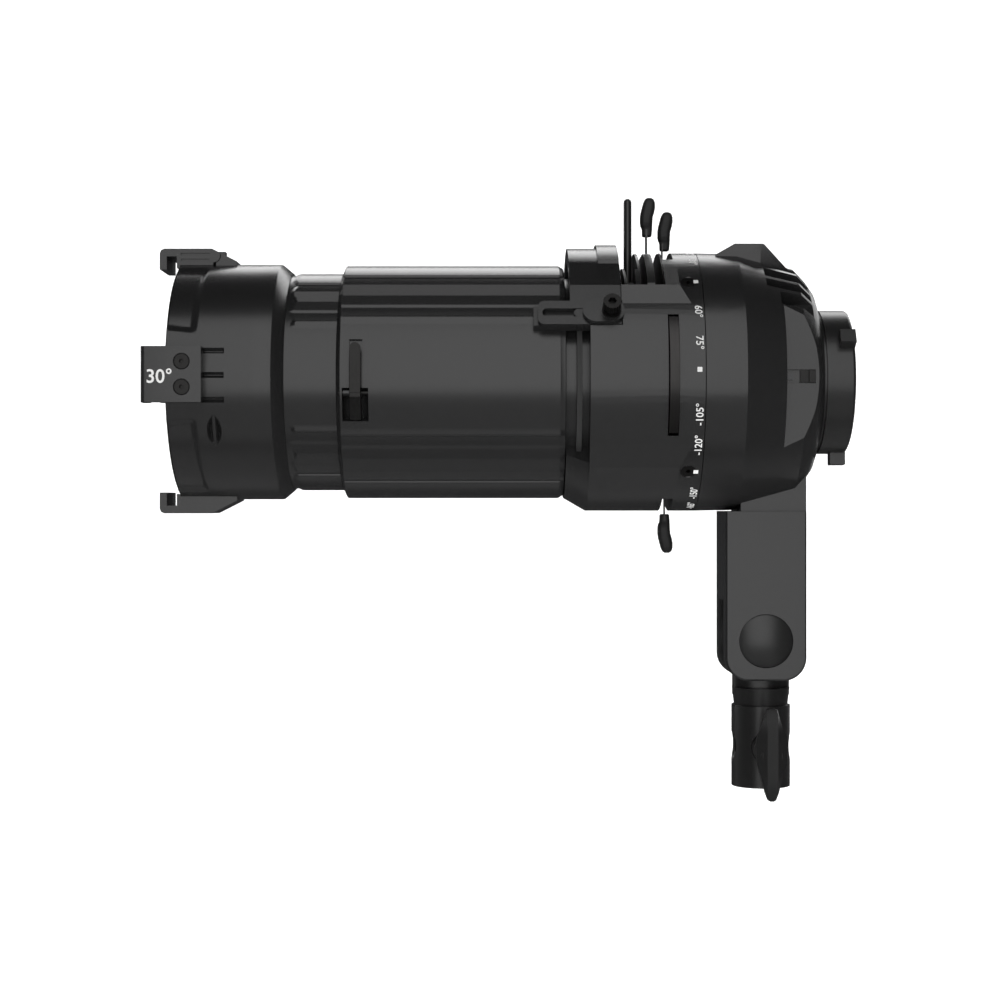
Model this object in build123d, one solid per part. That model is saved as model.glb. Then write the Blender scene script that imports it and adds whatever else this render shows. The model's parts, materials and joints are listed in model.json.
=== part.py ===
from build123d import *
from math import cos, radians, sin
import os

# Ellipsoidal (profile) spotlight optic on a tilting stand bracket, in millimetres.
# The origin is the mouth of the stand socket. +Z is up the stand, and the beam leaves towards -X.
# Pieces of the optic are drawn around the X axis and then lifted onto the beam axis.
# "phi" is the angle round the beam axis, counted from the near side (-Y) upwards.

AXIS_Z = 194.8          # height of the beam axis above the socket mouth
RUN = 0.10              # radial clearance of a running fit
GAP = 0.30              # clearance between bodies that only pass each other

# stations along the beam axis
CLAW_FRONT = -289.0
HOOD_FRONT = -279.0
HOOD_CONE = -230.6
HOOD_REAR = -225.5
BARREL_FRONT = -199.5
BARREL_REAR = -96.0
GATE_FRONT = -85.2
GATE_REAR = -33.2
COLLAR_REAR = -14.1
DOME_REAR = 25.5
RING_REAR = 40.2

# radii about the beam axis
HOOD_R = 56.6
NECK_R = 52.2
BARREL_R = 56.0
BARREL_BORE_R = 50.0
GATE_R = 62.1
GATE_BORE_R = 55.0
SPIGOT_R = 52.0
HOUSING_BORE_R = 44.5
BEAM_R = 30.0
RING_R = 34.6
LUG_R = 40.0
CLAW_R = 63.3

# focus slide, on the side of the barrel at FOCUS_PHI
FOCUS_TRAVEL = 14.0
FOCUS_PHI = 27.5
LOCK_X = -75.5          # focus lock screw
CARRIAGE_FRONT = -94.3
CARRIAGE_STEP = -80.7
CARRIAGE_REAR = -71.0
PLATE_FRONT = -108.9
PLATE_OUT = 62.0        # outer face of the slide plate
PLATE_IN = 59.2         # inner face of the slide plate
PLATE_W = 6.3           # half width of the slide plate
KEY_FRONT = -92.6
SLOT_W = 2.2            # half width of the slot
TONGUE_IN = 54.6        # inner face of the tongue under the plate

# rear housing and lamp ring
PAD_Y = 46.6            # flats on both sides of the dome
FIN_FLOOR_R = 48.5
FIN_GAPS = ((35.5, 44.0, 3.5), (46.5, 52.5, -2.6), (54.8, 63.5, -2.6), (66.0, 73.0, -2.6))  # from, to, front
RING_BORE_R = 28.5
RING_SCREW_R = 31.5     # pitch circle of the ring's screws
RING_HOLE_R = 1.55
RING_HEAD_R = 2.6
TAB_W = 2.8             # half width of the lock tab
RING_SCREW_ANGLES = (20, 110, 200, 290)
LUG_PHIS = (30, -86, 154)

# rotating gate
LIP_Z = 42.0            # height of the straight lips of the top opening
OPENING_X = (-70.5, -50.2)
SHUTTER_X = (-49.9, -44.9)
SHUTTER_BLADE = 0.5
NOSE_R = BARREL_BORE_R - RUN
NOSE_FRONT = -128.0
GATE_SCREW_X = -39.4
GATE_SCREW_PHIS = (45, 135, -45, -135)
IRIS_CAVITY_R = 40.0
GOBO_KNOB_Z = 70.6
SHUTTER_KNOB_Z = 63.7
KNOB_SIDE = [(2.75, 0), (2.75, 5.5), (3.85, 7.0), (3.85, 13.5), (2.4, 18.2), (1.2, 19.0)]
STEM_IN = 8.0           # how far a stem goes into its knob
STEM_W = 2.5            # half width of a stem

# barrel, lens latch and claws
RIB_CUTS = ((29.0, 35.5, 1.0), (43.5, 52.0, 2.3), (57.0, 60.5, 1.0))    # from, to, depth
SCOOP_X = -255.8
SCOOP_PHI = -26.4
LATCH_X = -192.2        # middle of the lens latch
LATCH_W = 2.4           # half width of its bar
LATCH_POCKET = (-198.4, -186.5)
LATCH_PIN = (-53.5, -8.0)
LATCH_PIN_R = 1.0
CLAW_PHIS = {"bottom": -90, "near": 0, "far": 180, "top": 90}
FIXED_CLAWS = ("bottom", "near", "far")
CLAW_W = 12.7           # half width of a claw
SIDE_CLAW_REAR = -261.4
CLAW_SCREW_X = -270.2
CLAW_SCREW_OFFSETS = (-5.8, 5.8)
CLAW_PIN_X = -263.4
CLAW_PIN_Z = CLAW_R - 3.3
CLAW_PIN_R = 1.2

# bracket and stand socket
PIVOT_Z = 70.9
PIVOT_BORE_R = 4.05
BRACKET_X = 19.2        # half width
BRACKET_Y = 19.8        # half thickness over the two cheeks
BRACKET_BOTTOM = 52.0
BRACKET_TOP = 132.5
FORK_GAP = 10.0         # half gap between the cheeks
SOCKET_R = 14.1
SOCKET_BORE_R = 8.1
SOCKET_DEPTH = 36.0
CLAMP_Z = 19.5
CLAMP_R = 4.0           # clamp screw of the T handle
HANDLE_Y = -37.7        # plane of the T handle
PIVOT_R = 4.0
DISH_R = 12.8
DISH_DEPTH = 4.0
SADDLE_SCREW_XS = (-10.0, 8.0)
SADDLE_SCREW_YS = (-5.0, 5.0)
SADDLE_SCREW_R = 2.5
SADDLE_HEAD_R = 4.3
SADDLE_HEAD_Z = BRACKET_TOP - 14.0
SADDLE_SCREW_TOP = AXIS_Z - HOUSING_BORE_R - 3.0


# ---------------------------------------------------------------- helpers

def lift(shape):
    """Raise a piece drawn around the X axis onto the beam axis."""
    return Pos(0, 0, AXIS_Z) * shape


def around(phi, shape):
    """Turn a piece drawn on the near side (-Y) to the angle phi round the X axis."""
    return Rot(-phi, 0, 0) * shape


def turned(*points):
    """Solid of revolution about the X axis from (x, r) points."""
    return revolve(Plane.XZ * Polygon(*points, align=None), Axis.X, 360)


def tube(r_out, r_in, x0, x1):
    return turned((x0, r_in), (x1, r_in), (x1, r_out), (x0, r_out))


def rod_x(radius, x0, x1, y=0.0, z=0.0):
    return Pos((x0 + x1) / 2, y, z) * Rot(0, 90, 0) * Cylinder(radius, x1 - x0)


def rod_y(radius, y0, y1, x=0.0, z=0.0):
    return Pos(x, (y0 + y1) / 2, z) * Rot(90, 0, 0) * Cylinder(radius, y1 - y0)


def rod_z(radius, z0, z1, x=0.0, y=0.0):
    return Pos(x, y, (z0 + z1) / 2) * Cylinder(radius, z1 - z0)


def block(x0, x1, y0, y1, z0, z1):
    return Pos((x0 + x1) / 2, (y0 + y1) / 2, (z0 + z1) / 2) * Box(x1 - x0, y1 - y0, z1 - z0)


def section(x0, x1, *points):
    """Prism along X from (y, z) points."""
    return extrude(Plane.YZ.offset(x0) * Polygon(*points, align=None), x1 - x0, dir=(1, 0, 0))


def side_profile(y0, y1, *points):
    """Prism along Y from (x, z) points."""
    return extrude(Plane.XZ.offset(-y0) * Polygon(*points, align=None), y1 - y0, dir=(0, 1, 0))


def wedge(r_in, r_out, phi0, phi1, x0, x1):
    """Flat-floored sector round the X axis, from phi0 to phi1."""
    a, b = radians(phi0), radians(phi1)
    corners = [(r_in, a), (r_out, a), (r_out, b), (r_in, b)]
    return section(x0, x1, *[(-r * cos(t), r * sin(t)) for r, t in corners])


def save(name, shape):
    """Write one node; separate solids in it stay separate."""
    solids = shape.solids()
    export_step(solids[0] if len(solids) == 1 else Compound(children=list(solids)), f"parts/{name}.step")


# ---------------------------------------------------------------- stand and bracket

def stand_receiver():
    """Socket for a 16 mm stand spigot, with a flared neck and a knuckle for the tilt pivot."""
    body = rod_z(SOCKET_R, 0, 39)
    neck = Pos(0, 0, 39) * loft([Circle(12.9).face(), (Pos(0, 0, 8.5) * Circle(13.9)).face()])
    tongue_half = FORK_GAP - 1.2
    knuckle = rod_y(17.0, -tongue_half, tongue_half, 0, PIVOT_Z)
    web = Pos(0, 0, 44) * extrude(Ellipse(13.8, tongue_half), PIVOT_Z - 44)
    shape = body + neck + knuckle + web
    shape = shape - rod_z(SOCKET_BORE_R, -1, SOCKET_DEPTH)
    shape = shape - rod_y(PIVOT_BORE_R, -20, 20, 0, PIVOT_Z)
    dimple = Pos(0, -SOCKET_R, CLAMP_Z) * Rot(90, 0, 0) * Cone(5.9, 8.8, 3.6)
    dimple = dimple + rod_y(CLAMP_R, -SOCKET_R, -SOCKET_R + 4.2, 0, CLAMP_Z)
    for quarter in range(4):
        shape = shape - Rot(0, 0, 90 * quarter) * dimple
    return shape - rod_y(CLAMP_R + RUN, -SOCKET_R - 1, -5, 0, CLAMP_Z)


def clamp_screw():
    """Threaded stud that the T handle drives, with a narrow tip for the pad."""
    return rod_y(CLAMP_R, HANDLE_Y - 1, -12.0, 0, CLAMP_Z) + rod_y(2.0, -12.0, -10.4, 0, CLAMP_Z)


def clamp_pad():
    """Soft pad on the screw's tip that presses on the spigot."""
    pad = rod_y(3.6, -11.9, -8.5, 0, CLAMP_Z)
    return pad - rod_y(2.0, -12.0, -10.4, 0, CLAMP_Z)


def t_handle():
    """Leaf-shaped handle with a round hub."""
    half = [(2.9, -19.5), (4.6, -13), (7.65, -4), (7.65, 4), (4.6, 13), (2.9, 19.5)]
    right = [(x, z + CLAMP_Z) for x, z in [(0, -21.4)] + half + [(0, 21.4)]]
    left = [(-x, z + CLAMP_Z) for x, z in half[::-1]]
    blade = side_profile(HANDLE_Y - 4.5, HANDLE_Y + 4.5, *(right + left))
    blade = chamfer(blade.edges().filter_by(Axis.Y, reverse=True), 1.6)
    hub = rod_y(6.6, HANDLE_Y, -22.0, 0, CLAMP_Z)
    return blade + hub - rod_y(CLAMP_R + RUN, HANDLE_Y - 1.3, -20, 0, CLAMP_Z)


def bracket_arm():
    """Fork that hangs the optic on the pivot, with a round recess in the near cheek."""
    solid = block(-BRACKET_X, BRACKET_X, -BRACKET_Y, BRACKET_Y, BRACKET_BOTTOM, BRACKET_TOP)
    lower = solid.edges().filter_by(Axis.Y).sort_by(Axis.Z)[:2]
    solid = fillet(lower, 11.0)
    slot = block(-30, 30, -FORK_GAP, FORK_GAP, BRACKET_BOTTOM - 5, PIVOT_Z)
    slot = slot + rod_y(24.5, -FORK_GAP, FORK_GAP, 0, PIVOT_Z)
    slot = slot + block(-30, 30, -FORK_GAP, FORK_GAP, PIVOT_Z, PIVOT_Z + 19.0)
    solid = solid - slot - rod_y(PIVOT_R, -30, 30, 0, PIVOT_Z)
    solid = solid - rod_y(DISH_R, -BRACKET_Y - 1, -BRACKET_Y + DISH_DEPTH, 0, PIVOT_Z)
    solid = solid - rod_y(7.0, BRACKET_Y - 3.0, BRACKET_Y + 1, 0, PIVOT_Z)
    for x, y in saddle_screw_places():
        solid = solid - rod_z(SADDLE_SCREW_R + RUN, BRACKET_TOP - 45, BRACKET_TOP + 1, x, y)
        solid = solid - rod_z(SADDLE_HEAD_R + GAP, BRACKET_TOP - 45, SADDLE_HEAD_Z, x, y)
    return chamfer(solid.edges().filter_by(Axis.Z).sort_by(Axis.X)[:2], 0.8)


def saddle_screw_places():
    return [(x, y) for x in SADDLE_SCREW_XS for y in SADDLE_SCREW_YS]


def tilt_bolt():
    """Pivot bolt through both cheeks, with a low head under the cap."""
    return rod_y(PIVOT_R, -BRACKET_Y + DISH_DEPTH, BRACKET_Y + 13, 0, PIVOT_Z) + bolt_head()


def bolt_head():
    return rod_y(6.0, -BRACKET_Y + DISH_DEPTH - 1.6, -BRACKET_Y + DISH_DEPTH, 0, PIVOT_Z)


def tilt_dish():
    """Domed cap that closes the recess over the bolt head."""
    dome_r = 36.0
    cap = rod_y(DISH_R, -BRACKET_Y - 2, -BRACKET_Y + DISH_DEPTH, 0, PIVOT_Z)
    cap = cap & Pos(0, -BRACKET_Y - 1.6 + dome_r, PIVOT_Z) * Sphere(dome_r)
    return cap - bolt_head()


def tilt_washers():
    """Friction washers between the knuckle and the cheeks."""
    near = rod_y(14.0, -FORK_GAP, -FORK_GAP + 1.1, 0, PIVOT_Z)
    far = rod_y(14.0, FORK_GAP - 1.1, FORK_GAP, 0, PIVOT_Z)
    return [w - rod_y(PIVOT_R, -30, 30, 0, PIVOT_Z) for w in (near, far)]


def tilt_nut():
    """Flanged nut on the far cheek that the tilt lever turns on."""
    nut = rod_y(6.9, BRACKET_Y - 3.0, BRACKET_Y + 1.5, 0, PIVOT_Z)
    return nut - rod_y(PIVOT_R, 0, 50, 0, PIVOT_Z)


def tilt_lever():
    """Clamping lever on the far side of the pivot."""
    hub = rod_y(9.0, BRACKET_Y + 1.8, BRACKET_Y + 14, 0, PIVOT_Z)
    arm = side_profile(BRACKET_Y + 6, BRACKET_Y + 12, (-5, PIVOT_Z), (5, PIVOT_Z),
                       (4.2, PIVOT_Z + 40), (-4.2, PIVOT_Z + 40))
    arm = arm + rod_y(4.2, BRACKET_Y + 6, BRACKET_Y + 12, 0, PIVOT_Z + 40)
    return hub + arm - rod_y(PIVOT_R + RUN, BRACKET_Y, BRACKET_Y + 13.2, 0, PIVOT_Z)


def bracket_saddle():
    """Block between the fork and the round housing, scooped to the housing's outside."""
    solid = block(-12.0, BRACKET_X, -18.6, 18.6, BRACKET_TOP, AXIS_Z - 40)
    solid = solid - lift(housing_outside())
    for x, y in saddle_screw_places():
        solid = solid - rod_z(SADDLE_SCREW_R + RUN, BRACKET_TOP - 1, AXIS_Z, x, y)
    return max(solid.solids(), key=lambda s: s.volume)


def saddle_screws():
    """Cap screws that hold the fork and saddle to the housing."""
    screws = []
    for x, y in saddle_screw_places():
        shank = rod_z(SADDLE_SCREW_R, SADDLE_HEAD_Z, SADDLE_SCREW_TOP, x, y)
        screws.append(shank + rod_z(SADDLE_HEAD_R, SADDLE_HEAD_Z - 5, SADDLE_HEAD_Z, x, y))
    return screws


# ---------------------------------------------------------------- rear housing

def housing_outside():
    """Collar, cone and dome of the housing as one solid."""
    return turned((GATE_REAR + GAP, 0), (GATE_REAR + GAP, GATE_R), (COLLAR_REAR, 61.8), (13.7, 54.5),
                  (19.2, 48.8), (22.4, 44.3), (23.4, 41.4), (DOME_REAR, RING_R), (DOME_REAR, 0))


def cooling_grooves():
    """Grooves between the dome's fins, on both sides of the hump."""
    grooves = []
    for side in (1, -1):
        for low, high, front in FIN_GAPS:
            cut = wedge(FIN_FLOOR_R, 70, low, high, front, 30)
            grooves.append(cut if side > 0 else mirror(cut, Plane.XZ))
    return grooves


def rear_housing():
    """Lamp-side housing: round collar, hump with cooling fins, side pads and stepped bore."""
    hump = side_profile(-19.5, 19.5, (-24.1, 40), (-24.1, 59.6), (-14.9, 64.8), (-1.2, 64.8), (18.4, 45.0),
                        (18.4, 40))
    solid = housing_outside() + hump
    for cut in cooling_grooves():
        solid = solid - cut
    for sign in (1, -1):
        y0, y1 = sorted((sign * PAD_Y, sign * 80))
        solid = solid - block(4.4, 30, y0, y1, -80, 80)
    solid = solid - turned((GATE_REAR, 0), (GATE_REAR, GATE_BORE_R), (-18, GATE_BORE_R),
                           (-18, HOUSING_BORE_R), (19, HOUSING_BORE_R), (19, RING_BORE_R), (30, RING_BORE_R),
                           (30, 0))
    solid = solid - block(6, 19, -PAD_Y - 1, -PAD_Y + 1.7, -TAB_W - GAP, TAB_W + GAP)
    for angle in RING_SCREW_ANGLES:
        solid = solid - Rot(angle, 0, 0) * rod_x(RING_HOLE_R, 18, 30, 0, RING_SCREW_R)
    for x, y in saddle_screw_places():
        solid = solid - rod_z(SADDLE_SCREW_R + RUN, -80, SADDLE_SCREW_TOP - AXIS_Z + 0.1, x, y)
    return solid


def mount_ring():
    """Lamp-side bayonet ring with three lugs."""
    ring = tube(RING_R, RING_BORE_R, DOME_REAR, RING_REAR)
    ring = ring - tube(RING_R + 1, 33.4, DOME_REAR, DOME_REAR + 1.3)
    ring = fillet(ring.edges().filter_by(GeomType.CIRCLE).sort_by(Axis.X)[-1:], 1.5)
    for phi in LUG_PHIS:
        lug = block(RING_REAR - 7.6, RING_REAR - 0.3, -LUG_R, -RING_R + 1.2, -3.5, 3.5)
        ring = ring + around(phi, lug)
    for angle in RING_SCREW_ANGLES:
        ring = ring - Rot(angle, 0, 0) * rod_x(RING_HOLE_R, 20, 50, 0, RING_SCREW_R)
        ring = ring - Rot(angle, 0, 0) * rod_x(RING_HEAD_R + RUN, RING_REAR - 2.0, 50, 0, RING_SCREW_R)
    return ring


def mount_ring_screws():
    """Cap screws through the ring into the housing."""
    shank = rod_x(RING_HOLE_R - 0.05, 19.6, RING_REAR - 2, 0, RING_SCREW_R)
    head = rod_x(RING_HEAD_R, RING_REAR - 2, RING_REAR - 0.2, 0, RING_SCREW_R)
    return [Rot(angle, 0, 0) * (shank + head) for angle in RING_SCREW_ANGLES]


def lock_tab():
    """Sliding tab that locks the lamp's bayonet, in a slot on the near pad."""
    tab = block(16.0, 18.8, -PAD_Y - 0.9, -PAD_Y + 1.5, -TAB_W, TAB_W)
    return tab + block(12.0, 16.0, -PAD_Y + 0.4, -PAD_Y + 1.5, -TAB_W, TAB_W)


def lock_spring():
    """Two-leaf spring behind the lock tab, shown as its solid outline."""
    return block(6.1, 8.9, -PAD_Y + 0.6, -PAD_Y + 1.4, -1.5, 1.5)


def friction_ring():
    """Plain bearing that the gate's spigot turns in."""
    return tube(GATE_BORE_R, SPIGOT_R + RUN, GATE_REAR + 1.0, -23.0)


def condenser_cell():
    """Tube that holds both condenser lenses, with a ledge between them."""
    return turned((-17.8, 42.1), (2.0, 42.1), (2.0, 38.0), (3.6, 38.0), (3.6, 40.1), (18.5, 40.1),
                  (18.5, HOUSING_BORE_R - 0.1), (-17.8, HOUSING_BORE_R - 0.1))


def plano_convex(radius, edge, crown, x_flat, direction):
    """Lens with a flat face at x_flat, a straight edge and a crown towards direction (+1 or -1)."""
    ball = (radius ** 2 + crown ** 2) / (2 * crown)
    x_edge = x_flat + direction * edge
    top = x_edge + direction * crown
    disc = rod_x(radius, min(x_flat, top), max(x_flat, top))
    return disc & Pos(top - direction * ball, 0, 0) * Sphere(ball)


def cell_retainers():
    """Threaded rings that keep the two condenser lenses on their ledge."""
    return [tube(42.0, 37.5, -17.5, -15.0), tube(40.0, 36.5, 16.2, 18.4)]


# ---------------------------------------------------------------- rotating gate

def gate_body():
    """Round gate housing: front nose, top opening, four shutter slots and rear spigot."""
    solid = turned((NOSE_FRONT, 46.9), (-82, 46.9), (-82, GATE_BORE_R), (-38, GATE_BORE_R), (-38, 46),
                   (-21.5, 46), (-21.5, SPIGOT_R), (GATE_REAR, SPIGOT_R), (GATE_REAR, GATE_R),
                   (GATE_FRONT, GATE_R), (GATE_FRONT, NOSE_R), (NOSE_FRONT, NOSE_R))
    solid = solid + gate_corners()
    solid = solid - block(*OPENING_X, -80, 80, LIP_Z, 80)
    half = 26.0
    solid = solid - block(*SHUTTER_X, -half, half, 44, 80)
    solid = solid - block(*SHUTTER_X, -half, half, -80, -44)
    side = 27.7
    solid = solid - block(*SHUTTER_X, -80, -42, -side, side)
    solid = solid - block(*SHUTTER_X, 42, 80, -side, side)
    notch_w = PLATE_W + GAP
    solid = solid - around(FOCUS_PHI, block(GATE_FRONT - 1, -70.4, -70, -50.2, -notch_w, notch_w))
    for phi in GATE_SCREW_PHIS:
        solid = solid - around(phi, flat_head_hole(GATE_SCREW_X, GATE_R))
    return solid


def gate_corner(front):
    """Corner that stands out of the round gate from front on, cut off obliquely at the rear."""
    corner = section(front, GATE_REAR, (-52.6, 33.0), (-49.0, LIP_Z), (-34.0, 52.0), (-33.0, 50.5),
                     (-44.0, LIP_Z), (-51.0, 32.0))
    top = LIP_Z + 12
    return corner - side_profile(-80, 0, (-43.8, top), (-43.8, LIP_Z), (-37.6, 31.0), (-30, 31.0), (-30, top))


def gate_corners():
    """The two upper corners, behind the focus carriage, and the two longer lower ones."""
    upper = gate_corner(CARRIAGE_REAR + GAP)
    lower = mirror(gate_corner(GATE_FRONT), Plane.XY)
    return upper + mirror(upper, Plane.XZ) + lower + mirror(lower, Plane.XZ)


def flat_head_hole(x, radius):
    """Countersunk hole along -Y at (x, radius)."""
    cone = Pos(x, -radius + 1.2, 0) * Rot(90, 0, 0) * Cone(1.7, 3.9, 2.6)
    return cone + rod_y(1.7, -radius - 1, -radius + 8, x, 0)


def flat_head_screw(x, radius, length):
    """Countersunk screw with a hexagon socket, head flush at (x, radius)."""
    head = Pos(x, -radius + 1.4, 0) * Rot(90, 0, 0) * Cone(1.55, 3.3, 2.0)
    socket = Pos(x, -radius + 0.9, 0) * Rot(90, 0, 0) * extrude(RegularPolygon(1.2, 6), 1.2, both=True)
    return head + rod_y(1.6, -radius + 2.3, -radius + length, x, 0) - socket


def gate_screws():
    return [around(phi, flat_head_screw(GATE_SCREW_X, GATE_R, 7.0)) for phi in GATE_SCREW_PHIS]


def gate_retainer():
    """Ring on the spigot's rear end that keeps the gate in the housing."""
    return tube(54.6, 46.2, -21.5, -19.3)


def gate_aperture():
    """Plate with the beam aperture, behind the shutters."""
    return tube(GATE_BORE_R - 0.1, BEAM_R, -43.6, -42.4)


def shutter_guides():
    """Two guide plates, one each side of the shutter blades."""
    front = tube(GATE_BORE_R - 0.1, BEAM_R + 1, -50.9, -50.2)
    crown = tube(61.9, 40, -50.9, -50.2) & block(-60, -40, -80, 80, LIP_Z + 0.3, 80)
    rear = tube(GATE_BORE_R - 0.1, BEAM_R + 1, -44.6, -43.9)
    return [front + crown, rear]


def stop_ring():
    """Soft stop round the nose, between gate and barrel."""
    return tube(53.5, NOSE_R, -91.0, -88.6)


def gate_transition():
    """Cone piece under the nose that fairs the gate into the barrel."""
    ring = turned((BARREL_REAR + GAP, NOSE_R), (BARREL_REAR + GAP, BARREL_R), (GATE_FRONT, GATE_R),
                  (GATE_FRONT, NOSE_R))
    edge_y = 80 * sin(radians(50))
    edge_z = -80 * cos(radians(50))
    sector = section(-97, -84, (0, 0), (-edge_y, edge_z), (-60, -90), (60, -90), (edge_y, edge_z))
    return ring & sector - stop_ring()


def focus_carriage():
    """Block on top of the gate's front edge, with the slotted side plate of the focus slide."""
    low = rod_x(64.3, CARRIAGE_FRONT, CARRIAGE_STEP)
    high = rod_x(66.0, CARRIAGE_STEP, CARRIAGE_REAR)
    outline = section(-95, -70, (-48.1, 41.9), (-36, 53.3), (-36, 80), (36, 80), (36, 53.3), (48.1, 41.9),
                      (48.1, 32), (-48.1, 32))
    flange = around(FOCUS_PHI, block(CARRIAGE_FRONT, CARRIAGE_REAR, -PLATE_OUT, -PLATE_IN, PLATE_W, 15.0))
    solid = (low + high) & outline
    solid = solid + flange - rod_x(57.0, -100, GATE_FRONT) - rod_x(GATE_R, GATE_FRONT, -60)
    solid = max(solid.solids(), key=lambda s: s.volume)
    corner = 3.0
    straight = PLATE_FRONT + corner
    plate = block(straight, CARRIAGE_REAR, -PLATE_OUT, -PLATE_IN, -PLATE_W, PLATE_W)
    plate = plate + block(PLATE_FRONT, straight, -PLATE_OUT, -PLATE_IN, corner - PLATE_W, PLATE_W - corner)
    for z in (corner - PLATE_W, PLATE_W - corner):
        plate = plate + rod_y(corner, -PLATE_OUT, -PLATE_IN, straight, z)
    plate = plate - rounded_bar(KEY_FRONT - FOCUS_TRAVEL - 0.4, -73.2, SLOT_W, -70, -55)
    return solid + around(FOCUS_PHI, plate)


def rounded_bar(x0, x1, half, y0, y1):
    """Round-ended bar along X, from y0 to y1."""
    straight = block(x0 + half, x1 - half, y0, y1, -half, half)
    return straight + rod_y(half, y0, y1, x0 + half, 0) + rod_y(half, y0, y1, x1 - half, 0)


def iris_housing():
    """Drop-in iris case: two side walls round the moving ring, open above for the lever."""
    case = tube(GATE_BORE_R - 0.3, BEAM_R, -68, -61)
    crown = tube(61.8, 40, -63.6, -61) & block(-70, -60, -80, 80, LIP_Z + 0.3, 80)
    case = case + crown - tube(IRIS_CAVITY_R, 0, -66.8, -62.2)
    return case - wedge(36, 70, 55, 90, -66.8, -62.2) - wedge(36, 70, 90, 125, -66.8, -62.2)


def iris_blades():
    """Stack of eight crescent leaves, each in its own plane."""
    leaves = []
    for n in range(8):
        x = -66.5 + 0.45 * n
        crescent = section(x - 1, x + 1, (0, 0), (-60, -14), (-60, 60), (60, 60), (60, -14))
        leaf = tube(35.6, 26.0, x, x + 0.25) & crescent
        leaves.append(Rot(45 * n, 0, 0) * leaf)
    return leaves


def iris_lever():
    """Ring of the iris with its straight lever rod."""
    ring = tube(39.6, 36.0, -66.4, -62.6)
    return ring + rod_z(1.95, 38, 87.15, -64.5, 0) + Pos(-64.5, 0, 87.15) * Sphere(1.95)


def pull_knob(x, z, sign, stem_x):
    """Small moulded knob with its foot at (x, z), pointing up (sign +1) or down, slotted for a flat stem."""
    outline = KNOB_SIDE + [(-kx, kz) for kx, kz in KNOB_SIDE[::-1]]
    body = side_profile(-3.6, 3.6, *[(x + kx, z + sign * kz) for kx, kz in outline])
    body = chamfer(body.edges().filter_by(Axis.Y, reverse=True), 0.9)
    z0, z1 = sorted((z, z + sign * STEM_IN))
    return body - block(stem_x - 0.4, stem_x + 0.4, -STEM_W, STEM_W, z0 - 0.01, z1 + 0.01)


def gobo_holder():
    """Slide-in holder with a round light opening and a flat stem for its knob."""
    plate = rod_x(35.2, -58.2, -54.6) + block(-58.2, -54.6, -35.2, 35.2, 0, 61)
    crown = block(-58.2, -54.6, -44, 44, LIP_Z + 0.4, 61)
    plate = ((plate + crown) & rod_x(61.8, -60, -50)) - rod_x(BEAM_R + 1, -60, -50)
    pocket = rod_x(33.2, -57.4, -50)
    stem = block(-55.9, -55.1, -STEM_W, STEM_W, 55, GOBO_KNOB_Z + STEM_IN)
    return plate - pocket + stem


def knob_blade(x, sign):
    """Shutter blade for the top (sign +1) or bottom slot, with its stem."""
    z0, z1 = sorted((sign * 3.0, sign * 55.0))
    plate = block(x, x + SHUTTER_BLADE, -24, 24, z0, z1)
    s0, s1 = sorted((sign * 54.0, sign * (SHUTTER_KNOB_Z + STEM_IN)))
    stem = block(x, x + SHUTTER_BLADE, -STEM_W, STEM_W, s0, s1)
    return plate + stem


def side_blade(x, sign):
    """Shutter blade for the near (sign -1) or far slot, with a bowed grip rim that stands proud."""
    y0, y1 = sorted((sign * 3.0, sign * 54.0))
    plate = block(x, x + SHUTTER_BLADE, y0, y1, -26.5, 26.5)
    rim_r = 49.6
    middle = sign * (65.3 - rim_r)
    rim = rod_x(rim_r, -49.5, -45.3, middle, 0) - rod_x(rim_r - 4.5, -50, -45, middle, 0)
    w0, w1 = sorted((sign * 50.0, sign * 80.0))
    rim = rim & block(-49.5, -45.3, w0, w1, -26.5, 26.5)
    t0, t1 = sorted((sign * 3.0, sign * 20.0))
    tip = block(x, x + SHUTTER_BLADE, t0, t1, -26.5, 26.5)
    bowed = rod_x(rim_r - 1, -60, -40, middle, 0)
    return rim + (plate & (bowed + tip))


# ---------------------------------------------------------------- barrel and lens tube

def rib_grooves(radius, x0, x1):
    """Lengthwise grooves that leave the ribs on each diagonal."""
    cuts = []
    for start, end, depth in RIB_CUTS:
        cut = wedge(radius - depth, radius + 6, start, end, x0, x1)
        below = mirror(cut, Plane.XY)
        cuts += [cut, below, mirror(cut, Plane.XZ), mirror(below, Plane.XZ)]
    return cuts


def barrel():
    """Ribbed outer barrel that slides on the gate's nose."""
    solid = turned((BARREL_FRONT - 2, BARREL_BORE_R), (BARREL_REAR, BARREL_BORE_R), (BARREL_REAR, BARREL_R),
                   (BARREL_FRONT, BARREL_R), (BARREL_FRONT - 2, NECK_R))
    for cut in rib_grooves(BARREL_R, BARREL_FRONT + 2.5, BARREL_REAR - 1.5):
        solid = solid - cut
    solid = solid - block(*LATCH_POCKET, -60, -44, -21.1, -5.9)
    solid = solid - rod_x(LATCH_PIN_R, -200.0, -185.0, *LATCH_PIN)
    bar_w = LATCH_W + 0.5
    solid = solid - block(LATCH_X - bar_w, LATCH_X + bar_w, -60, -BARREL_R + 2.1, -5.9, 16.5)
    return solid - around(FOCUS_PHI, block(-111, BARREL_REAR, -70, -TONGUE_IN, -5.2, 5.2))


def focus_tongue():
    """Flat tongue on the barrel under the slide plate, with the key that runs in the slot."""
    tongue = block(-111, -71.2, -PLATE_IN + 0.2, -TONGUE_IN, -5.2, 5.2)
    tongue = tongue - rod_x(BARREL_BORE_R, -120, -60)
    key = rounded_bar(KEY_FRONT, -80.5, SLOT_W - 0.15, -61.7, -PLATE_IN + 0.2)
    hole = rod_y(2.05, -70, -50, LOCK_X, 0)
    return around(FOCUS_PHI, tongue + key - hole)


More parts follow.
